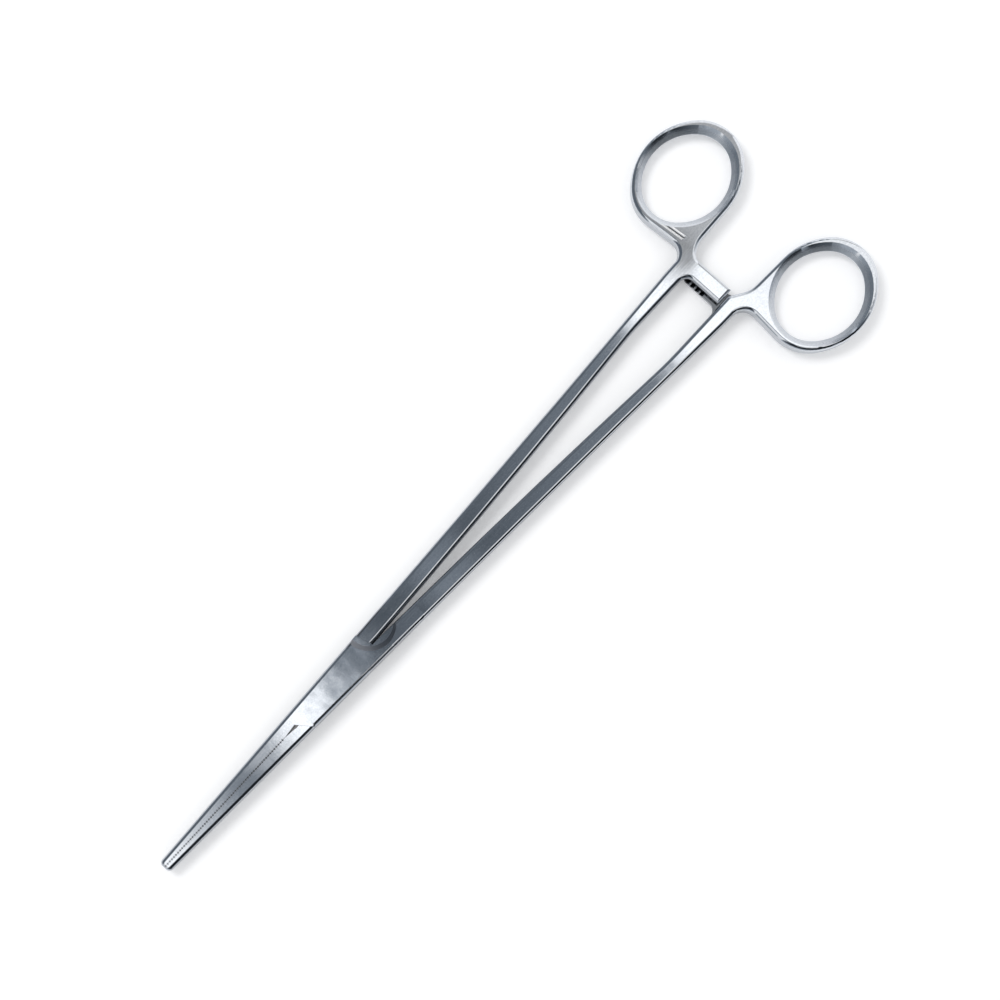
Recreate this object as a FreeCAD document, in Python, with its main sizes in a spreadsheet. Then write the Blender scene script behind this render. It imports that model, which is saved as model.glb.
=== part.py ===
import FreeCAD, Part
import math
import os

import Sketcher
from FreeCAD import Placement, Rotation, Vector

# Box-lock hemostatic forceps, closed, lying flat. Millimetres.
# The origin is on the pin's axis, level with the underside of the box. +X runs from the pin to
# the finger rings, +Y towards the ring of the male half, +Z up.
# Both halves are forged to one plan: the plan is drawn for the +Y handle, and `side` is +1 for the
# male half and -1 for the female half, whose handle lies at -Y. A jaw lies across from its handle.

SIZES = {
    # box lock and jaws, along the instrument from the pin's axis
    "tip_reach": 65.0,
    "lock_radius": 14.2,
    "lock_clearance": 0.06,
    "box_overrun": 1.8,
    "front_lead": 0.5,
    "front_slant": 38.0,
    "relief_length": 3.8,
    "relief_half_width": 0.5,
    "taper_start": 12.0,
    "crotch_lead": 2.4,
    "ramp_lead": 3.8,
    "ramp_length": 12.0,
    "crescent_lead": 4.3,
    "crescent_inset": 0.38,
    "crescent_radius": 6.5,
    "crescent_slope": 25.0,
    "pin_radius": 1.2,
    "pin_clearance": 0.03,
    # half widths and gaps about the closed jaw line
    "tip_half_width": 1.86,
    "rear_half_width": 5.03,
    "cheek_step": 0.15,
    "half_gap": 0.05,
    # heights, symmetric about the parting plane
    "box_height": 5.4,
    "handle_height": 4.2,
    "tip_height": 2.8,
    "slot_height": 1.9,
    "plate_clearance": 0.04,
    # handles: the ring's centre, and the neck and the bow of the shank in front of it
    "ring_reach": 167.9,
    "neck_inset": 1.05,
    "web_inset": 5.15,
    "heel_length": 5.5,
    "heel_rise": 3.53,
    "shoulder_lead": 6.4,
    "shoulder_length": 3.5,
    "shoulder_drop": 0.1,
    "bow_lead": 21.0,
    "bow_length": 8.0,
    "bow_drop": 0.29,
    "bow_half_gap": 6.25,
    "shank_width": 4.59,
    "ring_overlap": 0.63,
    # finger holes and the rims round them
    "hole_half_length": 13.8,
    "hole_half_width": 11.63,
    "hole_end_radius": 9.7,
    "hole_shift": 0.3,
    "rim_length": 3.75,
    "rim_width": 2.8,
    "rim_round": 2.5,
    # ratchet arms
    "arm_lead": 4.8,
    "arm_stagger": 1.05,
    "arm_width": 5.3,
    "arm_tip_gap": 0.55,
    "arm_tip_bevel": 0.7,
    "arm_parting": 0.05,
    "tooth_pitch": 1.7,
    "tooth_depth": 0.7,
    "tooth_count": 4,
    "tooth_land": 0.5,
    # edges
    "edge_radius": 1.05,
    "hole_bevel": 1.95,
    "tip_corner_radius": 1.2,
    "neck_outer_radius": 4.0,
    "web_corner_radius": 8.0,
    "heel_corner_radius": 2.4,
    "arm_outer_radius": 3.0,
    "arm_inner_radius": 2.5,
    # cross grooves of the jaws
    "serration_pitch": 0.78,
    "serration_width": 0.5,
    "serration_depth": 0.32,
    "serration_margin": 0.8,
}

doc = FreeCAD.newDocument("HemostaticForceps")
sheet = doc.addObject("Spreadsheet::Sheet", "Sizes")
for row, (alias, size) in enumerate(SIZES.items(), start=1):
    sheet.set(f"A{row}", alias)
    sheet.set(f"B{row}", str(size))
    sheet.setAlias(f"B{row}", alias)
doc.recompute()


def number(expression):
    """Value of an expression that reads the sheet."""
    value = sheet.evalExpression(expression)
    return float(getattr(value, "Value", value))


def origin_feature(body, role):
    """Plane or axis of a body's own origin."""
    return next(f for f in body.Origin.OriginFeatures if f.Role == role)


LEAST_SWING = math.radians(0.1)


class Outline:
    """A closed sketch whose corners and radii are bound to the sheet by expressions."""

    def __init__(self, body, name, plane, x, y):
        self.sketch = body.newObject("Sketcher::SketchObject", name)
        self.sketch.AttachmentSupport = [(origin_feature(body, plane), "")]
        self.sketch.MapMode = "FlatFace"
        self.corners = [(x, y)]
        self.edges = []

    def line(self, x, y):
        self.corners.append((x, y))
        self.edges.append(("line", None, 0))
        return self

    def arc(self, x, y, radius, turn):
        """Arc of a given radius: turn is +1 to the left and -1 to the right."""
        self.corners.append((x, y))
        self.edges.append(("arc", radius, turn))
        return self

    def tangent(self, x, y):
        """Arc that leaves the last edge without a corner, or a line where it would hardly bend."""
        self.corners.append((x, y))
        self.edges.append(("tangent", None, 0))
        return self

    def close(self):
        """Close the loop, with a line where it is still open, and bind every corner and radius."""
        if self.corners[-1] == self.corners[0]:
            self.corners.pop()
        else:
            self.edges.append(("line", None, 0))
        points = [Vector(number(x), number(y), 0) for x, y in self.corners]
        ends = []
        heading = None
        for index, (kind, radius, turn) in enumerate(self.edges):
            start = points[index]
            end = points[(index + 1) % len(points)]
            chord = end - start
            if kind == "tangent" and heading.getAngle(chord) < LEAST_SWING:
                kind = "line"
                self.edges[index] = (kind, None, 0)
            if kind == "line":
                self.sketch.addGeometry(Part.LineSegment(start, end))
                ends.append((1, 2))
                heading = chord
                continue
            if kind == "tangent":
                swing = heading.getAngle(chord)
                turn = 1 if heading.cross(chord).z > 0 else -1
                size = chord.Length / 2 / math.sin(swing)
            else:
                size = number(radius)
            left = Vector(-chord.y, chord.x, 0).normalize()
            centre = (start + end) / 2 + left * turn * math.sqrt(size ** 2 - chord.Length ** 2 / 4)
            circle = Part.Circle(centre, Vector(0, 0, 1), size)
            first, last = (start, end) if turn > 0 else (end, start)
            arc = Part.ArcOfCircle(circle, circle.parameter(first), circle.parameter(last))
            self.sketch.addGeometry(arc)
            ends.append((1, 2) if turn > 0 else (2, 1))
            spoke = end - centre
            heading = Vector(-spoke.y, spoke.x, 0) * turn
        self.constrain(ends)
        return self.sketch

    def constrain(self, ends):
        for index, (kind, radius, _) in enumerate(self.edges):
            before = index - 1 if index else len(self.edges) - 1
            joint = "Tangent" if kind == "tangent" else "Coincident"
            self.sketch.addConstraint(
                Sketcher.Constraint(joint, before, ends[before][1], index, ends[index][0]))
        for index, (x, y) in enumerate(self.corners):
            self.bind("DistanceX", (-1, 1, index, ends[index][0]), x)
            self.bind("DistanceY", (-1, 1, index, ends[index][0]), y)
        for index, (kind, radius, _) in enumerate(self.edges):
            if kind == "arc":
                self.bind("Radius", (index,), radius)

    def bind(self, kind, where, expression):
        number_of = self.sketch.addConstraint(Sketcher.Constraint(kind, *where, number(expression)))
        self.sketch.setExpression(f"Constraints[{number_of}]", expression)


def circle_sketch(body, name, radius):
    """A circle about the pin's axis, on the parting plane."""
    sketch = body.newObject("Sketcher::SketchObject", name)
    sketch.AttachmentSupport = [(origin_feature(body, "XY_Plane"), "")]
    sketch.MapMode = "FlatFace"
    sketch.addGeometry(Part.Circle(Vector(0, 0, 0), Vector(0, 0, 1), number(radius)))
    sketch.addConstraint(Sketcher.Constraint("Coincident", 0, 3, -1, 1))
    rim = sketch.addConstraint(Sketcher.Constraint("Radius", 0, number(radius)))
    sketch.setExpression(f"Constraints[{rim}]", radius)
    return sketch


def solid_feature(body, kind, name, sketch, height, **settings):
    """A pad or pocket of a sketch, to both sides of its plane unless the settings say one side."""
    feature = body.newObject(kind, name)
    feature.Profile = sketch
    feature.SideType = settings.get("side", "Symmetric")
    feature.Reversed = settings.get("reverse", False)
    feature.setExpression("Length", height)
    sketch.Visibility = False
    before = body.Shape.Volume if body.Shape.Solids else 0.0
    doc.recompute()
    grows = kind.endswith("Pad")
    change = body.Shape.Volume - before
    if (change <= 0) == grows:
        raise RuntimeError(f"{name} changed the volume by {change:.3f} mm3")
    return feature


def pad(body, name, sketch, height, **settings):
    return solid_feature(body, "PartDesign::Pad", name, sketch, height, **settings)


def pocket(body, name, sketch, height, **settings):
    return solid_feature(body, "PartDesign::Pocket", name, sketch, height, **settings)


def mirror(body, name, *features):
    """The same cuts on the underside, mirrored in the parting plane."""
    feature = body.newObject("PartDesign::Mirrored", name)
    feature.Originals = list(features)
    feature.MirrorPlane = (origin_feature(body, "XY_Plane"), [""])
    body.Tip = feature
    doc.recompute()
    return feature


def edges_of(body, wanted):
    """Names of the edges that the test holds for."""
    shape = body.Tip.Shape
    return [f"Edge{n}" for n, edge in enumerate(shape.Edges, start=1) if wanted(edge)]


def round_edges(body, name, wanted, radius):
    """A fillet on the edges that the test holds for."""
    base = body.Tip
    names = edges_of(body, wanted)
    if not names:
        raise RuntimeError(f"{name} found no edge")
    feature = body.newObject("PartDesign::Fillet", name)
    feature.Base = (base, names)
    feature.setExpression("Radius", radius)
    doc.recompute()
    return feature


def bevel_edges(body, name, wanted, size):
    """A bevel at 45 degrees on the edges that the test holds for."""
    base = body.Tip
    names = edges_of(body, wanted)
    if not names:
        raise RuntimeError(f"{name} found no edge")
    feature = body.newObject("PartDesign::Chamfer", name)
    feature.Base = (base, names)
    feature.setExpression("Size", size)
    doc.recompute()
    return feature


def upright_at(x, y, reach=0.3):
    """Test for an upright edge that stands at a place of the plan."""
    spot = Vector(number(x), number(y), 0)

    def holds(edge):
        if not isinstance(edge.Curve, Part.Line) or abs(edge.tangentAt(edge.FirstParameter).z) < 0.99:
            return False
        place = edge.Vertexes[0].Point
        return math.hypot(place.x - spot.x, place.y - spot.y) < reach
    return holds


# Derived places, as expressions

BOX_HALF = "Sizes.box_height / 2"
HANDLE_HALF = "Sizes.handle_height / 2"
SLOT_HALF = "Sizes.slot_height / 2"
PLATE_HALF = f"({SLOT_HALF} - Sizes.plate_clearance)"
ABOVE = f"({BOX_HALF} + 1)"
BOX_REAR = "(Sizes.lock_radius + Sizes.box_overrun)"
FRONT_EDGE = "(Sizes.lock_radius + Sizes.front_lead)"
CROTCH = "(Sizes.lock_radius + Sizes.crotch_lead)"
RING_HALF_LENGTH = "(Sizes.hole_half_length + Sizes.rim_length)"
RING_HALF_WIDTH = "(Sizes.hole_half_width + Sizes.rim_width)"
RING_END_RADIUS = "(Sizes.hole_end_radius + Sizes.rim_round)"
RING_FRONT = f"(Sizes.ring_reach - {RING_HALF_LENGTH})"
NECK = f"({RING_FRONT} + Sizes.neck_inset)"
WEB = f"({RING_FRONT} + Sizes.web_inset)"
WEB_SIDE = "(Sizes.bow_half_gap + Sizes.heel_rise)"
HEEL = f"({WEB} - Sizes.heel_length)"
BOW = f"({HEEL} - Sizes.bow_lead)"
SHOULDER = f"({NECK} - Sizes.shoulder_lead)"
SHOULDER_SIDE = "(Sizes.bow_half_gap + Sizes.shank_width)"
RING_SIDE = f"({SHOULDER_SIDE} + {RING_HALF_WIDTH} - Sizes.ring_overlap)"
ARM_TIP = "(Sizes.bow_half_gap - Sizes.arm_tip_gap)"
EVERYWHERE = f"{RING_SIDE} * 4"
BEHIND_TIP = "-(Sizes.tip_reach + 1)"
BEYOND_RINGS = f"(Sizes.ring_reach + {RING_HALF_LENGTH} + 1)"
FLANK_SLOPE = f"((Sizes.rear_half_width - Sizes.tip_half_width) / (Sizes.tip_reach + {BOX_REAR}))"


def half_width(x):
    """Half width of the closed jaws and box at a distance x from the pin's axis."""
    return f"(Sizes.tip_half_width + {FLANK_SLOPE} * ({x} + Sizes.tip_reach))"


def front_line(y, clearance="0"):
    """Place of the slanted front edge of the cheeks at a distance y from the jaw line."""
    return (f"(-{FRONT_EDGE} + (Sizes.relief_half_width - {y})"
            f" * tan(Sizes.front_slant * 1 deg) - {clearance})")


def oval(half_length, half_width_of, end_radius):
    """Side radius of a four-arc oval, and the cosine and sine of the place where its arcs meet."""
    side = (f"(({half_length})^2 + ({half_width_of})^2 - 2 * ({half_length}) * ({end_radius}))"
            f" / (2 * (({half_width_of}) - ({end_radius})))")
    run = f"((({half_length}) - ({end_radius})) / ({side} - ({end_radius})))"
    rise = f"((({side}) - ({half_width_of})) / ({side} - ({end_radius})))"
    return f"({side})", run, rise


def tangent_point(x, y, centre_x, centre_y, radius, turn):
    """Place where a line from (x, y) touches a circle, on its left (+1) or right (-1)."""
    dx = f"({centre_x} - {x})"
    dy = f"({centre_y} - {y})"
    square = f"({dx}^2 + {dy}^2)"
    run = f"sqrt({square} - {radius}^2)"
    touch_x = f"({x} + {run} / {square} * ({dx} * {run} - {turn} * {dy} * {radius}))"
    touch_y = f"({y} + {run} / {square} * ({turn} * {dx} * {radius} + {dy} * {run}))"
    return touch_x, touch_y


def plan(body, side):
    """Plan of one forging: box flank, shank, ring and neck, inner edge, jaw."""
    ring_side, run, rise = oval(RING_HALF_LENGTH, RING_HALF_WIDTH, RING_END_RADIUS)
    end_centre = f"({RING_HALF_LENGTH} - {RING_END_RADIUS})"
    corner_x = f"({end_centre} + {RING_END_RADIUS} * {run})"
    corner_y = f"({RING_END_RADIUS} * {rise})"
    neck_touch = tangent_point(NECK, SHOULDER_SIDE, f"(Sizes.ring_reach - {end_centre})", RING_SIDE,
                               RING_END_RADIUS, 1)
    web_touch = tangent_point(WEB, WEB_SIDE, "Sizes.ring_reach",
                              f"({RING_SIDE} + {ring_side} - {RING_HALF_WIDTH})", ring_side, -1)
    lock_edge = "(Sizes.lock_radius + 0.4)"
    mating = f"{-side} * Sizes.half_gap"
    if side > 0:
        front_x = f"-{FRONT_EDGE}"
        front_y = half_width(front_x)
    else:
        front_y = f"({half_width('-Sizes.lock_radius')} + Sizes.cheek_step)"
        front_x = front_line(f"(-{front_y})")
    outline = Outline(body, "Plan", "XY_Plane", front_x, f"{side} * {front_y}")
    outline.line(BOX_REAR, f"{side} * Sizes.rear_half_width")
    outline.tangent(f"{SHOULDER} - Sizes.shoulder_length",
                    f"{side} * ({SHOULDER_SIDE} - Sizes.shoulder_drop)")
    outline.tangent(SHOULDER, f"{side} * {SHOULDER_SIDE}")
    outline.line(NECK, f"{side} * {SHOULDER_SIDE}")
    outline.line(neck_touch[0], f"{side} * {neck_touch[1]}")
    outline.arc(f"Sizes.ring_reach - {corner_x}", f"{side} * ({RING_SIDE} + {corner_y})",
                RING_END_RADIUS, -side)
    outline.arc(f"Sizes.ring_reach + {corner_x}", f"{side} * ({RING_SIDE} + {corner_y})",
                ring_side, -side)
    outline.arc(f"Sizes.ring_reach + {corner_x}", f"{side} * ({RING_SIDE} - {corner_y})",
                RING_END_RADIUS, -side)
    outline.arc(web_touch[0], f"{side} * {web_touch[1]}", ring_side, -side)
    outline.line(WEB, f"{side} * {WEB_SIDE}")
    outline.line(HEEL, f"{side} * Sizes.bow_half_gap")
    outline.line(BOW, f"{side} * Sizes.bow_half_gap")
    outline.tangent(f"{BOW} - Sizes.bow_length", f"{side} * (Sizes.bow_half_gap - Sizes.bow_drop)")
    outline.tangent(CROTCH, f"{side} * Sizes.half_gap")
    outline.line(lock_edge, f"{side} * Sizes.half_gap")
    outline.line(lock_edge, f"{-side} * {half_width(lock_edge)}")
    outline.line("-Sizes.tip_reach", f"{-side} * Sizes.tip_half_width")
    outline.line("-Sizes.tip_reach", mating)
    outline.line(f"-({FRONT_EDGE} + Sizes.relief_length)", mating)
    outline.line(f"-{FRONT_EDGE}", f"{-side} * Sizes.relief_half_width")
    return outline.close()


def thin_down(body, side):
    """Thin the jaw towards its tip and the handle behind the box, above and below."""
    jaw = Outline(body, "JawProfile", "XZ_Plane", "-Sizes.taper_start", BOX_HALF)
    jaw.line("-Sizes.tip_reach", "Sizes.tip_height / 2")
    jaw.line("-Sizes.tip_reach", ABOVE)
    jaw.line("-Sizes.taper_start", ABOVE)
    jaw_cut = pocket(body, "JawTop", jaw.close(), EVERYWHERE)
    start = ("(Sizes.lock_radius + Sizes.ramp_lead)" if side < 0 else
             "(Sizes.lock_radius - Sizes.ramp_length - Sizes.pin_radius)")
    handle = Outline(body, "HandleProfile", "XZ_Plane", start, BOX_HALF)
    handle.line(f"{start} + Sizes.ramp_length", HANDLE_HALF)
    handle.line(BEYOND_RINGS, HANDLE_HALF)
    handle.line(BEYOND_RINGS, ABOVE)
    handle.line(start, ABOVE)
    handle_cut = pocket(body, "HandleTop", handle.close(), EVERYWHERE)
    return mirror(body, "ThinBelow", jaw_cut, handle_cut)


def finger_hole(body, side):
    """The oval hole of the finger ring."""
    hole_side, run, rise = oval("Sizes.hole_half_length", "Sizes.hole_half_width",
                                "Sizes.hole_end_radius")
    centre_x = "(Sizes.ring_reach - Sizes.hole_shift)"
    corner_x = f"(Sizes.hole_half_length - Sizes.hole_end_radius + Sizes.hole_end_radius * {run})"
    corner_y = f"(Sizes.hole_end_radius * {rise})"
    low = f"{side} * {RING_SIDE} - {corner_y}"
    high = f"{side} * {RING_SIDE} + {corner_y}"
    outline = Outline(body, "FingerHoleOutline", "XY_Plane", f"{centre_x} - {corner_x}", low)
    outline.arc(f"{centre_x} + {corner_x}", low, hole_side, 1)
    outline.arc(f"{centre_x} + {corner_x}", high, "Sizes.hole_end_radius", 1)
    outline.arc(f"{centre_x} - {corner_x}", high, hole_side, 1)
    outline.arc(f"{centre_x} - {corner_x}", low, "Sizes.hole_end_radius", 1)
    return pocket(body, "FingerHole", outline.close(), EVERYWHERE)


def arm_left(side):
    """Near edge of a ratchet arm. The lower arm stands a little nearer to the box."""
    upper = f"({NECK} - Sizes.arm_lead)"
    return upper if side > 0 else f"({upper} - Sizes.arm_stagger)"


def heel_at(x):
    """Half gap of the slanted heel between the neck and the shank's inner edge."""
    return f"(Sizes.bow_half_gap + ({x} - {HEEL}) * Sizes.heel_rise / Sizes.heel_length)"


def ratchet_arm(body, side):
    """Half-thickness arm across to the other handle: above on the male half, below on the female."""
    reach = arm_left(side)
    root = f"{side} * ({WEB_SIDE} - Sizes.edge_radius)"
    outline = Outline(body, "ArmOutline", "XY_Plane", reach, root)
    outline.line(f"{reach} + Sizes.arm_width", root)
    outline.line(f"{reach} + Sizes.arm_width", f"{-side} * {ARM_TIP}")
    outline.line(reach, f"{-side} * {ARM_TIP}")
    sketch = outline.close()
    sketch.setExpression("AttachmentOffset.Base.z", f"{side} * Sizes.arm_parting")
    return pad(body, "RatchetArm", sketch, f"{HANDLE_HALF} - Sizes.arm_parting",
               side="One side", reverse=side < 0)


def blend_plan_corners(body, side):
    """Rounded upright corners where shank, neck, arm and tip meet in the plan."""
    reach = arm_left(side)
    outer = f"({reach} + Sizes.arm_width)"
    corners = [
        ("TipCorner", "-Sizes.tip_reach", f"{-side} * Sizes.tip_half_width",
         "Sizes.tip_corner_radius"),
        ("NeckOuterCorner", NECK, f"{side} * {SHOULDER_SIDE}", "Sizes.neck_outer_radius"),
        ("WebCorner", WEB, f"{side} * {WEB_SIDE}", "Sizes.web_corner_radius"),
        ("HeelCorner", HEEL, f"{side} * Sizes.bow_half_gap", "Sizes.heel_corner_radius"),
        ("ArmInnerCorner", reach, f"{side} * Sizes.bow_half_gap", "Sizes.arm_inner_radius"),
        ("ArmOuterCorner", outer, f"{side} * {heel_at(outer)}", "Sizes.arm_outer_radius"),
    ]
    for name, x, y, radius in corners:
        round_edges(body, name, upright_at(x, y), radius)


def rim_edge(edge):
    """Long outer edge of jaw, flank or shank: the fillet follows it round every smooth bend."""
    middle = edge.valueAt((edge.FirstParameter + edge.LastParameter) / 2)
    return edge.Length > number("Sizes.relief_length") * 12 and abs(middle.y) > 1


def hole_edge(edge):
    """Edge of the finger hole on the upper or lower face."""
    centre_x = number("Sizes.ring_reach - Sizes.hole_shift")
    centre_y = number(RING_SIDE)
    level = number(HANDLE_HALF)
    return all(
        abs(v.Point.x - centre_x) < number("Sizes.hole_half_length")
        and abs(abs(v.Point.y) - centre_y) < number("Sizes.hole_half_width")
        and abs(abs(v.Point.z) - level) < 1e-6 for v in edge.Vertexes)


def crescent(body):
    """Shallow cone ground into the rear of both cheeks, down to the level of the male shank."""
    cone = body.newObject("PartDesign::SubtractiveCone", "CrescentAbove")
    cone.AttachmentSupport = [(origin_feature(body, "XY_Plane"), "")]
    cone.MapMode = "FlatFace"
    cone.setExpression("AttachmentOffset.Base.x", "Sizes.lock_radius + Sizes.crescent_lead")
    cone.setExpression("AttachmentOffset.Base.y", "Sizes.rear_half_width - Sizes.crescent_inset")
    cone.setExpression("AttachmentOffset.Base.z", HANDLE_HALF)
    cone.setExpression("Height", f"{ABOVE} - {HANDLE_HALF}")
    cone.setExpression("Radius1", "Sizes.crescent_radius")
    cone.setExpression("Radius2", f"Sizes.crescent_radius + ({ABOVE} - {HANDLE_HALF})"
                                  " / tan(Sizes.crescent_slope * 1 deg)")
    doc.recompute()
    return mirror(body, "CrescentBelow", cone)


def rear_trim(body, side):
    """Clear the far side of the box behind the lock arc, where the other shank comes in."""
    radius = "Sizes.lock_radius" if side < 0 else "(Sizes.lock_radius - Sizes.lock_clearance)"
    edge_y = f"{side} * Sizes.half_gap"
    far_x = f"{radius} * cos(30 deg)"
    far_y = f"{-side} * {radius} * sin(30 deg)"
    outline = Outline(body, "RearTrimOutline", "XY_Plane",
                      f"sqrt({radius}^2 - Sizes.half_gap^2)", edge_y)
    outline.arc(far_x, far_y, radius, -side)
    outline.line(f"{BOX_REAR} + 1", far_y)
    outline.line(f"{BOX_REAR} + 1", edge_y)
    return pocket(body, "RearTrim", outline.close(), EVERYWHERE)


def front_trim(body):
    """Round the front of the middle plate, about the pin's axis."""
    radius = "(Sizes.lock_radius - Sizes.lock_clearance)"
    low = "-Sizes.relief_half_width"
    outline = Outline(body, "FrontTrimOutline", "XY_Plane",
                      f"-sqrt({radius}^2 - Sizes.relief_half_width^2)", low)
    outline.line(f"-{FRONT_EDGE}", low)
    outline.line(f"-{FRONT_EDGE}", f"{radius} * sin(30 deg)")
    outline.line(f"-{radius} * cos(30 deg)", f"{radius} * sin(30 deg)")
    outline.arc(outline.corners[0][0], low, radius, 1)
    return pocket(body, "FrontTrim", outline.close(), EVERYWHERE)


def free_plate(body):
    """Cut the male half down to the middle plate where the cheeks of the box lie."""
    radius = "(Sizes.lock_radius + Sizes.lock_clearance)"
    far = f"({radius} * sin(35 deg))"
    rear = f"({radius} * cos(35 deg))"
    low = "-Sizes.relief_half_width"
    outline = Outline(body, "CheekRoomOutline", "XY_Plane", f"-{FRONT_EDGE}", far)
    outline.line(f"-{FRONT_EDGE}", low)
    outline.line(front_line(low, "Sizes.lock_clearance"), low)
    outline.line(front_line(f"(-{far})", "Sizes.lock_clearance"), f"-{far}")
    outline.line(rear, f"-{far}")
    outline.arc(rear, far, radius, 1)
    sketch = outline.close()
    sketch.setExpression("AttachmentOffset.Base.z", PLATE_HALF)
    room = pocket(body, "CheekRoomAbove", sketch, ABOVE, side="One side", reverse=True)
    return mirror(body, "CheekRoomBelow", room)


def pattern(body, name, feature, axis, pitch, count, reverse=False):
    """Repeat a cut along one axis of the body."""
    repeats = body.newObject("PartDesign::LinearPattern", name)
    repeats.Originals = [feature]
    repeats.Direction = (origin_feature(body, axis), [""])
    repeats.Mode = "Spacing"
    repeats.Reversed = reverse
    repeats.setExpression("Offset", pitch)
    repeats.setExpression("Occurrences", count)
    body.Tip = repeats
    doc.recompute()
    return repeats


def serrations(body, side):
    """Cross grooves along the mating face of the jaw, from the tip to the relief behind it."""
    first = "(Sizes.tip_reach - Sizes.serration_margin)"
    run = f"({first} - {FRONT_EDGE} - Sizes.relief_length - Sizes.serration_margin)"
    left = f"-{first} - Sizes.serration_width / 2"
    right = f"-{first} + Sizes.serration_width / 2"
    face = f"{-side} * Sizes.half_gap"
    clear = f"{side} * Sizes.serration_width"
    outline = Outline(body, "GrooveOutline", "XY_Plane", left, clear)
    outline.line(left, face)
    outline.line(f"-{first}", f"{-side} * (Sizes.half_gap + Sizes.serration_depth)")
    outline.line(right, face)
    outline.line(right, clear)
    groove = pocket(body, "Groove", outline.close(), EVERYWHERE)
    return pattern(body, "Serrations", groove, "X_Axis", "Sizes.serration_pitch",
                   f"floor({run} / Sizes.serration_pitch) + 1")


def arm_sketch_place(sketch, side):
    sketch.setExpression("AttachmentOffset.Base.z", f"{arm_left(side)} + Sizes.arm_width / 2")


def ratchet_teeth(body, side):
    """Saw teeth on the face of the arm that looks at the other arm, and the bevelled arm end."""
    tip = f"-{ARM_TIP}"
    bevel = Outline(body, "ArmBevelOutline", "YZ_Plane", f"{side} * ({tip} - 0.5)",
                    f"{side} * ({HANDLE_HALF} - Sizes.arm_tip_bevel - 0.5)")
    bevel.line(f"{side} * ({tip} + Sizes.arm_tip_bevel + 1)", f"{side} * ({HANDLE_HALF} + 1)")
    bevel.line(f"{side} * ({tip} - 0.5)", f"{side} * ({HANDLE_HALF} + 1)")
    bevel_sketch = bevel.close()
    arm_sketch_place(bevel_sketch, side)
    pocket(body, "ArmBevel", bevel_sketch, "Sizes.arm_width + 1")
    wall = f"({tip} + Sizes.tooth_land)"
    face = "Sizes.arm_parting"
    tooth = Outline(body, "ToothOutline", "YZ_Plane", f"{side} * {wall}", f"-{side} * 0.5")
    tooth.line(f"{side} * {wall}", f"{side} * ({face} + Sizes.tooth_depth)")
    tooth.line(f"{side} * ({wall} + Sizes.tooth_pitch - Sizes.tooth_land)", f"{side} * {face}")
    tooth.line(f"{side} * ({wall} + Sizes.tooth_pitch - Sizes.tooth_land)", f"-{side} * 0.5")
    tooth_sketch = tooth.close()
    arm_sketch_place(tooth_sketch, side)
    notch = pocket(body, "ToothNotch", tooth_sketch, "Sizes.arm_width + 1")
    return pattern(body, "RatchetTeeth", notch, "Y_Axis", "Sizes.tooth_pitch",
                   "Sizes.tooth_count", reverse=side < 0)


def forging(name, side):
    """One half, from its forged plan to its ground and cut details."""
    body = doc.addObject("PartDesign::Body", name)
    body.Label = name
    pad(body, "Forging", plan(body, side), "Sizes.box_height")
    finger_hole(body, side)
    thin_down(body, side)
    ratchet_arm(body, side)
    blend_plan_corners(body, side)
    round_edges(body, "RoundedRims", rim_edge, "Sizes.edge_radius")
    bevel_edges(body, "BevelledHole", hole_edge, "Sizes.hole_bevel")
    rear_trim(body, side)
    if side > 0:
        front_trim(body)
        free_plate(body)
        bore = "Sizes.pin_radius + Sizes.pin_clearance"
    else:
        crescent(body)
        slot = circle_sketch(body, "SlotOutline", "Sizes.lock_radius")
        pocket(body, "Slot", slot, "Sizes.slot_height")
        bore = "Sizes.pin_radius"
    pocket(body, "PinHole", circle_sketch(body, "PinHoleOutline", bore), "Sizes.box_height + 2")
    serrations(body, side)
    ratchet_teeth(body, side)
    body.setExpression("Placement.Base.z", BOX_HALF)
    return body


def lock_pin():
    """Plain pin, pressed into both cheeks and ground flush with them."""
    pin = doc.addObject("Part::Cylinder", "lock_pin")
    pin.Label = "lock_pin"
    pin.setExpression("Radius", "Sizes.pin_radius")
    pin.setExpression("Height", "Sizes.box_height")
    pin.Placement = Placement(Vector(0, 0, 0), Rotation())
    return pin


def main():
    parts = [forging("male_half", 1), forging("female_half", -1), lock_pin()]
    doc.recompute()
    for item in doc.Objects:
        if "Invalid" in item.State or "Error" in item.State:
            raise RuntimeError(f"{item.Label} failed: {item.State}")
    os.makedirs("parts", exist_ok=True)
    for part in parts:
        shape = part.Shape
        if shape.isNull() or not shape.isValid() or len(shape.Solids) != 1:
            raise RuntimeError(f"{part.Label} isn't one valid solid")
        shape.exportStep(f"parts/{part.Label}.step")
        print(f"{part.Label}: {shape.Volume:.1f} mm3, {len(shape.Faces)} faces")


main()
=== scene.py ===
# %% [markdown]
# Hemostatic forceps, polished steel, on a white table. Blender gives them their finish, a table,
# light and a camera. Everything is in metres, in the CAD's own frame: the origin is on the lock
# pin, +X runs to the finger rings, +Y to the ring of the upper ratchet arm, and +Z up.

import math

import bpy
from mathutils import Matrix, Vector

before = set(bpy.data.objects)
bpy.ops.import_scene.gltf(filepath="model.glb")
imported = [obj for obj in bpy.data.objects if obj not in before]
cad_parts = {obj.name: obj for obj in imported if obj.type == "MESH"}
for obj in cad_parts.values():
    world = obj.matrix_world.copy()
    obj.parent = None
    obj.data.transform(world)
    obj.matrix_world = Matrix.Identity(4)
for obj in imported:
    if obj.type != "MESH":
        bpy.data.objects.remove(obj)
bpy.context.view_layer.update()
MM = 0.001
steel_parts = [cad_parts[name] for name in ("female_half", "male_half", "lock_pin")]
for part in steel_parts:
    print(part.name, "has", len(part.data.polygons), "faces and stands at", list(part.location))

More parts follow.
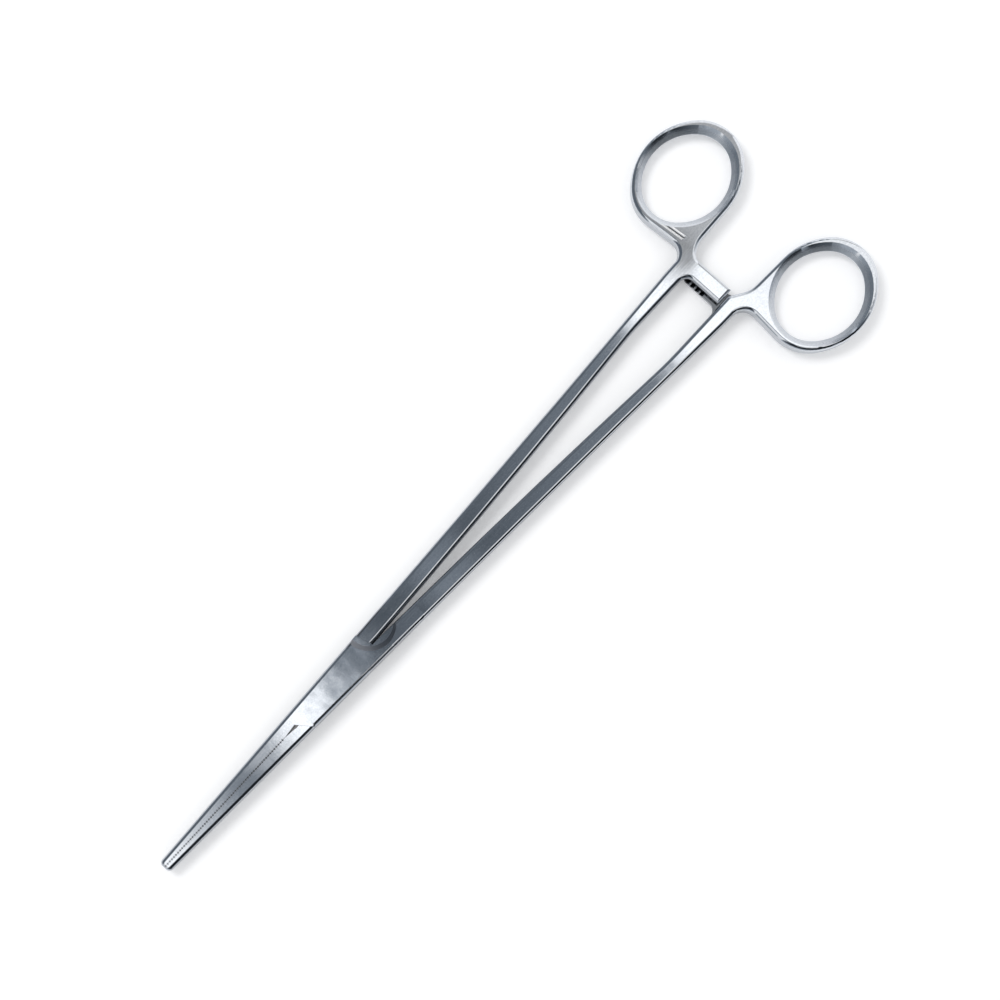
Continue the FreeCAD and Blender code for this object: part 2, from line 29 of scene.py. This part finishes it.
# %% [markdown]
# Every material below is made of nodes. Adding a node by hand takes many lines, so one small
# function does it: it makes the node, sets its options, and fills each input with a value or with
# a link. A link may come from a node, whose first output is then used, or from one output of it.
# Colours are written as hex, the way a paint chart gives them. Blender computes in linear light,
# so a second function turns a hex colour into linear values. Two more put an object into the scene
# and clear the nodes that a new material starts with.

# %% Helpers
def add_node(tree, kind, inputs=None, **options):
    """Add a node. Each input is a value, a node, or a node's output."""
    node = tree.nodes.new(kind)
    for name, value in options.items():
        setattr(node, name, value)
    for key, value in (inputs or {}).items():
        if isinstance(key, str):
            socket = next(s for s in node.inputs if s.enabled and s.name == key)
        else:
            socket = node.inputs[key]
        if isinstance(value, bpy.types.Node):
            value = next(s for s in value.outputs if s.enabled)
        if isinstance(value, bpy.types.NodeSocket):
            tree.links.new(value, socket)
        else:
            socket.default_value = value
    return node


def linear(hex_colour):
    """Linear RGBA of an sRGB hex colour."""
    channels = [int(hex_colour[i:i + 2], 16) / 255 for i in (1, 3, 5)]
    return [c / 12.92 if c <= 0.04045 else ((c + 0.055) / 1.055) ** 2.4 for c in channels] + [1.0]


def put_in_scene(name, data):
    """New object with this data, in the scene."""
    thing = bpy.data.objects.new(name, data)
    bpy.context.scene.collection.objects.link(thing)
    return thing


def empty_tree(owner):
    """Node tree of a material or a world, without any nodes."""
    owner.use_nodes = True
    owner.node_tree.nodes.clear()
    return owner.node_tree


print("pure white is", linear("#ffffff"), "and middle grey", linear("#808080"))

# %% [markdown]
# The camera stands where the photographer's did: above the forceps, 42 cm off the table and tipped
# by 7 degrees. The forceps lie across the picture at 47 degrees, with the rings at the top right.
# A camera could be turned by three angles, but those are hard to read. Here its axes are built
# from the three things that a photographer chooses: where it stands, what it aims at, and which
# way on the table is up in the picture.

# %% Camera
LENS_TO_TABLE = 420 * MM
CAMERA_TIP = math.radians(7)
PICTURE_TURN = math.radians(47.21)
LENS_LENGTH, SENSOR_WIDTH = 55.5, 36  # in millimetres, as Blender counts them
picture_centre = Vector((66.6 * MM, 1.7 * MM, 0))
picture_up = Vector((math.sin(PICTURE_TURN), math.cos(PICTURE_TURN), 0))

camera_place = (picture_centre - picture_up * LENS_TO_TABLE * math.sin(CAMERA_TIP)
                + Vector((0, 0, LENS_TO_TABLE * math.cos(CAMERA_TIP))))
back = (camera_place - picture_centre).normalized()
right = picture_up.cross(back).normalized()
up = back.cross(right)
camera = put_in_scene("camera", bpy.data.cameras.new("camera"))
camera.data.lens = LENS_LENGTH
camera.data.sensor_width = SENSOR_WIDTH
camera.matrix_world = (Matrix.Translation(camera_place)
                       @ Matrix((right, up, back)).transposed().to_4x4())
bpy.context.scene.camera = camera
bpy.context.scene.view_settings.view_transform = "Standard"
print("camera stands at", [round(c, 4) for c in camera_place])

# %% [markdown]
# The forceps lie on a white table. The paper is matt, so a plain diffuse shader keeps the soft
# shadow of the forceps. A photographer burns such a ground out to clean white, and turning up the
# lamps would burn the steel too. So the paper glows a little by itself, and more far away where
# the lamp doesn't reach, only for the camera and for what the steel mirrors.

# %% Table
TABLE_HALF = 3.0
FADE_FROM, FADE_TO = 0.25, 1.2
GLOW_NEAR, GLOW_FAR = 0.15, 1.0
corners = [(x * TABLE_HALF, y * TABLE_HALF, 0) for x, y in ((-1, -1), (1, -1), (1, 1), (-1, 1))]
table_mesh = bpy.data.meshes.new("table")
table_mesh.from_pydata(corners, [], [(0, 1, 2, 3)])
table = put_in_scene("table", table_mesh)
print("table is", TABLE_HALF * 2, "m wide")

# %% [markdown]
# The paper's glow is worked out from two things: which kind of ray looks at it, and how far the
# spot is from the middle of the picture.

# %% Paper
paper = bpy.data.materials.new("matt white paper")
sheet = empty_tree(paper)
ray = add_node(sheet, "ShaderNodeLightPath").outputs
seen = ray["Is Camera Ray"]
for kind_of_ray in ("Is Glossy Ray", "Is Transmission Ray"):
    seen = add_node(sheet, "ShaderNodeMath", {0: seen, 1: ray[kind_of_ray]}, operation="MAXIMUM")
spot = add_node(sheet, "ShaderNodeTexCoord").outputs["Object"]
distance = add_node(sheet, "ShaderNodeVectorMath", {0: spot, 1: picture_centre},
                    operation="DISTANCE").outputs["Value"]
glow = add_node(sheet, "ShaderNodeMapRange", {"Value": distance, "From Min": FADE_FROM,
                                              "From Max": FADE_TO, "To Min": GLOW_NEAR,
                                              "To Max": GLOW_FAR})
glow = add_node(sheet, "ShaderNodeMath", {0: glow, 1: seen}, operation="MULTIPLY")
matt = add_node(sheet, "ShaderNodeBsdfDiffuse", {"Color": linear("#fbfbfb")})
glowing = add_node(sheet, "ShaderNodeEmission", {"Color": linear("#ffffff"), "Strength": glow})
surface = add_node(sheet, "ShaderNodeAddShader", {0: matt, 1: glowing})
add_node(sheet, "ShaderNodeOutputMaterial", {"Surface": surface})
table.data.materials.append(paper)
print("table wears", paper.name)

# %% [markdown]
# One soft lamp stands beside the forceps, to the upper left of the picture, at 52 degrees over the
# table. How wide it looks from the forceps sets how soft the shadow's edge is: 26 degrees gives a
# blur of a few millimetres. A sun lamp could do that too, but an area lamp is what a studio has.
# It is hidden from reflections, because the studio that the steel mirrors is drawn in the next
# steps.

# %% Key lamp
LAMP_DISTANCE = 1.2
LAMP_HEIGHT = math.radians(52)
LAMP_SPREAD = math.radians(26)
LAMP_WATTS = 4.5
lit_place = Vector((60 * MM, 0, 0))
lamp_side = Vector((-0.12, 1, 0)).normalized()
lamp = put_in_scene("key lamp", bpy.data.lights.new("key lamp", "AREA"))
lamp.data.shape = "DISK"
lamp.data.size = 2 * LAMP_DISTANCE * math.tan(LAMP_SPREAD / 2)
lamp.data.energy = LAMP_WATTS
lamp.location = lit_place + LAMP_DISTANCE * (lamp_side * math.cos(LAMP_HEIGHT)
                                             + Vector((0, 0, math.sin(LAMP_HEIGHT))))
lamp.rotation_mode = "QUATERNION"
lamp.rotation_quaternion = (lamp.location - lit_place).to_track_quat("Z", "Y")
lamp.visible_glossy = False
print("lamp is", round(lamp.data.size, 2), "m across")

# %% [markdown]
# Masks and rows of greys are needed again and again, for the room and for the steel. A zone
# multiplies soft steps, each going from 0 to 1 between two values. A row of cards lays greys along
# a value, one card after the other. The dark cards are a little blue, as the room is in the photo.

# %% Zones and cards
RED_LOSS, BLUE_GAIN = 0.15, 0.18


def zone(tree, *steps):
    """Mask of a zone. Each step is a value, where the mask is 0 and where it is 1."""
    mask = 1.0
    for value, nothing, full in steps:
        step = add_node(tree, "ShaderNodeMapRange",
                        {"Value": value, "From Min": nothing, "From Max": full})
        mask = add_node(tree, "ShaderNodeMath", {0: mask, 1: step}, operation="MULTIPLY")
    return mask


def lay_cards(tree, value, cards):
    """Row of grey cards along a value, from pairs of a place and a grey level."""
    low, high = cards[0][0], cards[-1][0]
    row = add_node(tree, "ShaderNodeValToRGB", {0: zone(tree, (value, low, high))})
    stops = row.color_ramp.elements
    while len(stops) < len(cards):
        stops.new(1.0)
    for stop, (place, grey) in zip(stops, cards):
        dark = max(0.0, 1.0 - grey)
        stop.position = (place - low) / (high - low)
        stop.color = (grey * (1 - RED_LOSS * dark), grey, grey * (1 + BLUE_GAIN * dark), 1)
    return row


print("blue against red in the darkest cards:", round((1 + BLUE_GAIN) / (1 - RED_LOSS), 2))

# %% [markdown]
# Polished steel has almost no colour of its own: it shows the room. So the room matters as much as
# the steel. It could be built from glowing cards, but greys across the sky say the same with a few
# nodes. A direction is described by how far it leans towards +X and towards +Y for each metre that
# it rises. A level direction doesn't rise at all, so a least rise keeps the division safe.

# %% Studio, the directions
LEAST_RISE = 0.05
studio = bpy.data.worlds.new("studio")
bpy.context.scene.world = studio
studio.cycles.sampling_method = "NONE"
air = empty_tree(studio)
way = add_node(air, "ShaderNodeSeparateXYZ",
               {0: add_node(air, "ShaderNodeTexCoord").outputs["Generated"]}).outputs
rise = add_node(air, "ShaderNodeMath", {0: way["Z"], 1: LEAST_RISE}, operation="MAXIMUM")
lean_x = add_node(air, "ShaderNodeMath", {0: way["X"], 1: rise}, operation="DIVIDE")
lean_y = add_node(air, "ShaderNodeMath", {0: way["Y"], 1: rise}, operation="DIVIDE")
print("a direction is split into", [socket.name for socket in way])

# %% [markdown]
# The flat upper faces mirror a narrow band right overhead, where softboxes and dark panels hang
# side by side along the instrument. That is why the steel goes from white at the box and near the
# rings to slate along the shanks. Two small dark flags, one inside the other, hang over the neck
# of the upper ring, where the photo shows mottled grey between the bright arm and shank.

# %% Studio, the panels overhead
PANELS = [  # lean towards +X, grey level
    (-0.40, 1.00), (-0.285, 1.60), (-0.262, 1.30), (-0.245, 0.75), (-0.215, 0.27), (-0.195, 0.20),
    (-0.180, 0.35), (-0.168, 1.10), (-0.158, 1.80), (-0.12, 1.75), (-0.089, 1.65), (-0.078, 0.62),
    (-0.060, 0.36), (-0.046, 0.22), (-0.030, 0.12), (0.002, 0.13), (0.022, 0.28), (0.045, 0.24),
    (0.060, 0.14), (0.10, 0.18), (0.14, 0.22), (0.20, 0.24), (0.229, 0.26), (0.237, 1.55),
    (0.262, 1.60), (0.300, 1.50), (0.33, 1.30), (0.37, 1.20), (0.42, 1.20),
]
WIDE_FLAG_PASSES, SMALL_FLAG_PASSES = 0.44, 0.50
past_arm = (lean_y, 0.093, 0.101)  # beyond the bright ratchet arm
wide_flag = zone(air, (lean_x, 0.268, 0.291), past_arm)
small_flag = zone(air, (lean_x, 0.278, 0.291), past_arm, (lean_x, 0.310, 0.302))
panels = lay_cards(air, lean_x, PANELS)
for flag, passes in ((wide_flag, WIDE_FLAG_PASSES), (small_flag, SMALL_FLAG_PASSES)):
    shade = add_node(air, "ShaderNodeMapRange", {"Value": flag, "To Min": 1.0, "To Max": passes})
    panels = add_node(air, "ShaderNodeMix", {"Factor": 1.0, "A": panels, "B": shade},
                      data_type="RGBA", blend_type="MULTIPLY")
print("panels overhead:", len(PANELS), "brightest", max(grey for _, grey in PANELS))

# %% [markdown]
# Rounded edges mirror the rest of the room. A long softbox close to the forceps, on the -Y side,
# draws the thin white line along the shanks. Beyond it the room is nearly black on that side, mid
# grey on the +Y side and bright past the rings.

# %% Studio, the sides
SIDES = [  # degrees round from +X towards +Y, grey level halfway up
    (-180, 0.14), (-155, 0.03), (-110, 0.02), (-70, 0.02), (-50, 0.20), (-20, 1.10), (32, 1.10),
    (46, 0.60), (58, 0.16), (135, 0.16), (160, 0.12), (180, 0.14),
]
LOW_SIDES = [  # the same near the table
    (-180, 0.50), (-150, 0.50), (-125, 0.12), (-101, 0.03), (-98, 0.40), (-94, 0.40), (-92, 0.03),
    (-75, 0.03), (-60, 0.20), (-35, 1.10), (0, 1.20), (45, 1.20), (52, 0.80), (64, 0.22),
    (135, 0.22), (165, 0.40), (180, 0.50),
]
heading = add_node(air, "ShaderNodeMath", {0: way["Y"], 1: way["X"]}, operation="ARCTAN2")
heading = add_node(air, "ShaderNodeMath", {0: heading}, operation="DEGREES")
halfway_up = zone(air, (way["Z"], 0.38, 0.60))
overhead = zone(air, (lean_y, -0.10, -0.03), (lean_y, 0.26, 0.17))
softbox = zone(air, (lean_y, -0.09, -0.14), (lean_y, -0.62, -0.50),
               (lean_x, -0.08, -0.04), (lean_x, 0.26, 0.22))
room = lay_cards(air, heading, LOW_SIDES)
for mask, what_hangs_there in ((halfway_up, lay_cards(air, heading, SIDES)), (overhead, panels),
                               (softbox, linear("#ffffff"))):
    room = add_node(air, "ShaderNodeMix", {"Factor": mask, "A": room, "B": what_hangs_there},
                    data_type="RGBA")
print("greys round the sides:", len(SIDES), "and near the table:", len(LOW_SIDES))

# %% [markdown]
# Only reflections see this room. Matt surfaces get plain, nearly white light, which fills the
# shadow, and the camera sees white where the table ends. The kind of ray decides between them. A
# background strength of 1 shows white as white.

# %% Studio, who sees what
ray = add_node(air, "ShaderNodeLightPath").outputs
plain = add_node(air, "ShaderNodeMix", {"Factor": ray["Is Camera Ray"], "A": linear("#dfe0e2"),
                                        "B": linear("#ffffff")}, data_type="RGBA")
sky = add_node(air, "ShaderNodeMix", {"Factor": ray["Is Glossy Ray"], "A": plain, "B": room},
               data_type="RGBA")
shine = add_node(air, "ShaderNodeBackground", {"Color": sky, "Strength": 1.0})
add_node(air, "ShaderNodeOutputWorld", {"Surface": shine})
print("nodes in the studio:", len(air.nodes))

# %% [markdown]
# The metal is stainless steel, forged, then ground and polished. Each stage leaves its marks. A
# belt leaves fine lines across the jaws, the box is filed by hand and looks clouded, and the
# shanks and rings are buffed along their length. It is one metal, so one material mixes the three
# by the distance along the instrument. Object coordinates stay with each half when the forceps
# open. The marks are noise, stretched where the tool ran. A belt of grit 240 leaves lines about
# 0.05 mm apart, too fine to show here, so the lines are drawn about 0.3 mm apart.

# %% Steel, the marks of the tools
BELT_LINE = 0.25 * MM
BUFF_LINE = 0.31 * MM
FILE_MARK = 1.1 * MM
SPECK = 0.45 * MM
CLOUD = 7.7 * MM
steel = bpy.data.materials.new("polished stainless steel")
metal = empty_tree(steel)
place = add_node(metal, "ShaderNodeTexCoord").outputs["Object"]
spot = add_node(metal, "ShaderNodeSeparateXYZ", {0: place}).outputs
along = spot["X"]


def streaks(length, width, height, detail):
    """Marks of a tool, from their usual length along X, width along Y and height along Z."""
    per_metre = (1 / length, 1 / width, 1 / height)
    stretched = add_node(metal, "ShaderNodeMapping", {"Vector": place, "Scale": per_metre})
    return add_node(metal, "ShaderNodeTexNoise", {"Vector": stretched, "Scale": 1.0,
                                                  "Detail": detail})


belt_lines = streaks(BELT_LINE, 4 * MM, 1.1 * MM, 3.0)
buff_lines = streaks(11 * MM, BUFF_LINE, BUFF_LINE, 3.0)
file_marks = streaks(FILE_MARK, FILE_MARK, FILE_MARK, 4.0)
specks = streaks(SPECK, SPECK, SPECK, 1.0)
clouds = streaks(CLOUD, CLOUD, CLOUD, 1.5)

is_jaw = zone(metal, (along, -9 * MM, -15 * MM))
is_buffed = zone(metal, (along, 8 * MM, 20 * MM))
lines = add_node(metal, "ShaderNodeMix", {"Factor": is_buffed, "A": file_marks, "B": buff_lines})
lines = add_node(metal, "ShaderNodeMix", {"Factor": is_jaw, "A": lines, "B": belt_lines})
print("steel marks made, the finest", BELT_LINE / MM, "mm apart")

# %% [markdown]
# How bright the steel is depends partly on how well a wheel gets at it. The upper faces are buffed
# brightest. The sides are only ground, and apart from the rings they are also painted darker where
# the normal turns to the side: a painted shade. Deep inside the rings the steel stays duller. The
# hollow behind the box is rougher and gets a painted shade, and the faces between the two ratchet
# arms get a painted shade too. The edges are worn as bright as the upper faces, because fingers
# and cloths rub them. The masks could be painted, but built from position and normal they fit the
# shape exactly.

# %% Steel, where the wheel reaches and where shade is painted
MIDDLE = 2.7 * MM
normal = add_node(metal, "ShaderNodeNewGeometry").outputs["Normal"]
facing = add_node(metal, "ShaderNodeSeparateXYZ", {0: normal}).outputs
upness = add_node(metal, "ShaderNodeMath", {0: facing["Z"]}, operation="ABSOLUTE")
depth = add_node(metal, "ShaderNodeMath", {0: spot["Z"], 1: MIDDLE}, operation="SUBTRACT")
depth = add_node(metal, "ShaderNodeMath", {0: depth}, operation="ABSOLUTE")

past_neck = (along, 146 * MM, 154 * MM)  # where the rings begin
is_top = zone(metal, (upness, 0.35, 0.80))
is_worn_edge = zone(metal, (upness, 0.60, 0.80), (upness, 0.985, 0.93))
is_box = zone(metal, (along, -13 * MM, -11 * MM), (along, 17 * MM, 13 * MM))
# The hollow behind the box is rougher, and its colour is painted darker: a painted shade in the
# recess.
hollow_with_painted_shade = zone(metal, (along, 9 * MM, 10 * MM), (along, 26 * MM, 22 * MM),
                 (upness, 0.975, 0.94), (upness, 0.60, 0.75))
is_ring = zone(metal, past_neck)
is_deep_in_ring = zone(metal, past_neck, (depth, 1.9 * MM, 0.9 * MM))
# The faces between the two ratchet arms are painted darker: a painted shade between the parts.
between_arms_painted_shade = zone(metal, (depth, 0.9 * MM, 0.75 * MM), (upness, 0.55, 0.65),
                       (along, 139 * MM, 140 * MM), (along, 153 * MM, 152 * MM))
print("nodes in the steel so far:", len(metal.nodes))

# %% [markdown]
# A small dent lies on the web of the upper ring, beside its neck. The photo shows it as a short
# double line, so its middle gets a painted shade and its raised lips get a white painted
# highlight. It is drawn from a copy of the coordinates that is moved onto the dent and turned
# along it. Its masks ask how level a face is and not which way up it looks, so the hidden lower
# face has it too.

# %% Steel, the dent beside the neck
DENT_MIDDLE = (153.4 * MM, 17.6 * MM, 0)
DENT_TURN = math.radians(-84)
DENT_START, DENT_END = -3.0 * MM, 4.0 * MM
at_dent = add_node(metal, "ShaderNodeMapping", {"Vector": place, "Location": DENT_MIDDLE,
                                                "Rotation": (0, 0, DENT_TURN)},
                   vector_type="TEXTURE")
at_dent = add_node(metal, "ShaderNodeSeparateXYZ", {0: at_dent}).outputs
from_dent = add_node(metal, "ShaderNodeMath", {0: at_dent["Y"]}, operation="ABSOLUTE")
within_dent = ((at_dent["X"], DENT_START - 2 * MM, DENT_START),
               (at_dent["X"], DENT_END + 0.4 * MM, DENT_END), (upness, 0.80, 0.90))
# The dent's middle is painted darker, a painted shade. Its lips are painted white, a painted
# highlight, and are also rougher and raised by a bump.
dent_painted_shade = zone(metal, (from_dent, 0.26 * MM, 0.10 * MM), *within_dent)
lip_with_painted_highlight = zone(metal, (from_dent, 0.20 * MM, 0.34 * MM), (from_dent, 0.80 * MM, 0.62 * MM),
              *within_dent)
print("the dent is", round((DENT_END - DENT_START) / MM), "mm long, with a faint start")

# %% [markdown]
# Stainless steel is a light grey, a little blue. The lightest value stands for polished faces. The
# greys below it are painted shade: on the sides of the shanks, box and jaws, in the hollow behind
# the box, between the ratchet arms and in the middle of the dent. The white on the lips of the
# dent is a painted highlight. The polished tone varies a little with the marks, as if some spots
# had taken less polish.

# %% Steel, tone
marks = zone(metal, (specks.outputs[0], 0.30, 0.70))
marks = add_node(metal, "ShaderNodeMix", {"Factor": 0.4, "A": lines, "B": marks})
polished = add_node(metal, "ShaderNodeMix", {"Factor": marks, "A": linear("#c3c8cf"),
                                             "B": linear("#e1e4e8")}, data_type="RGBA")
# This first grey is a painted shade on the sides of the shanks, box and jaws. The rings and the
# upper faces take the polished tone over it.
tone = linear("#96999e")
for mask, colour in ((is_ring, polished), (is_top, polished), (is_worn_edge, polished),
                     (hollow_with_painted_shade, linear("#7d8086")), (between_arms_painted_shade, linear("#5e6165")),
                     (dent_painted_shade, linear("#6b6e73")), (lip_with_painted_highlight, linear("#ffffff"))):
    tone = add_node(metal, "ShaderNodeMix", {"Factor": mask, "A": tone, "B": colour},
                    data_type="RGBA")
print("nodes in the steel so far:", len(metal.nodes))

# %% [markdown]
# A mirror polish has a roughness near 0.05, and a belt finish has 0.2 to 0.4. The sides of the
# rings are finer than those of the shanks. In their depth, in the hollow and on the lips of the
# dent the steel is rougher. Clouds dull all of it a little here and there.

# %% Steel, polish
FILED, MIRROR = 0.08, 0.05
GROUND, FINELY_GROUND = 0.22, 0.17
top_roughness = add_node(metal, "ShaderNodeMapRange",
                         {"Value": is_buffed, "To Min": FILED, "To Max": MIRROR})
roughness = add_node(metal, "ShaderNodeMapRange",
                     {"Value": is_ring, "To Min": GROUND, "To Max": FINELY_GROUND})
for mask, value in ((is_top, top_roughness), (is_deep_in_ring, 0.36), (hollow_with_painted_shade, 0.42),
                    (lip_with_painted_highlight, 0.3)):
    roughness = add_node(metal, "ShaderNodeMix", {"Factor": mask, "A": roughness, "B": value})
dulling = add_node(metal, "ShaderNodeMapRange", {"Value": clouds, "From Min": 0.35,
                                                 "From Max": 0.75, "To Min": -0.01,
                                                 "To Max": 0.03})
roughness = add_node(metal, "ShaderNodeMath", {0: roughness, 1: dulling})
print("roughness runs from", MIRROR, "to", GROUND, "on most of the steel")

# %% [markdown]
# Hand work leaves the box slightly wavy, a few hundredths of a millimetre over some millimetres,
# and that bends the reflections into clouds. The lines of the tools are about 0.002 mm deep. Such
# fine relief would need millions of faces, so bump nodes do it: the waves first, the lines on the
# waves, and the lips of the dent on top.

# %% Steel, relief
WAVE_DEPTH, LINE_DEPTH, LIP_HEIGHT = 0.045 * MM, 0.002 * MM, 0.12 * MM
waviness = add_node(metal, "ShaderNodeMix", {"Factor": is_box, "A": 0.25, "B": 1.0})
relief = add_node(metal, "ShaderNodeBump", {"Height": clouds, "Distance": WAVE_DEPTH,
                                            "Strength": waviness})
for height, size, strength in ((lines, LINE_DEPTH, 0.4), (lip_with_painted_highlight, LIP_HEIGHT, 1.0)):
    relief = add_node(metal, "ShaderNodeBump", {"Height": height, "Distance": size,
                                                "Strength": strength, "Normal": relief})
finish = add_node(metal, "ShaderNodeBsdfPrincipled", {"Base Color": tone, "Metallic": 1.0,
                                                      "Roughness": roughness, "Normal": relief})
add_node(metal, "ShaderNodeOutputMaterial", {"Surface": finish})
for part in steel_parts:
    for slot in part.material_slots:
        slot.material = steel
    print(part.name, "wears", steel.name)
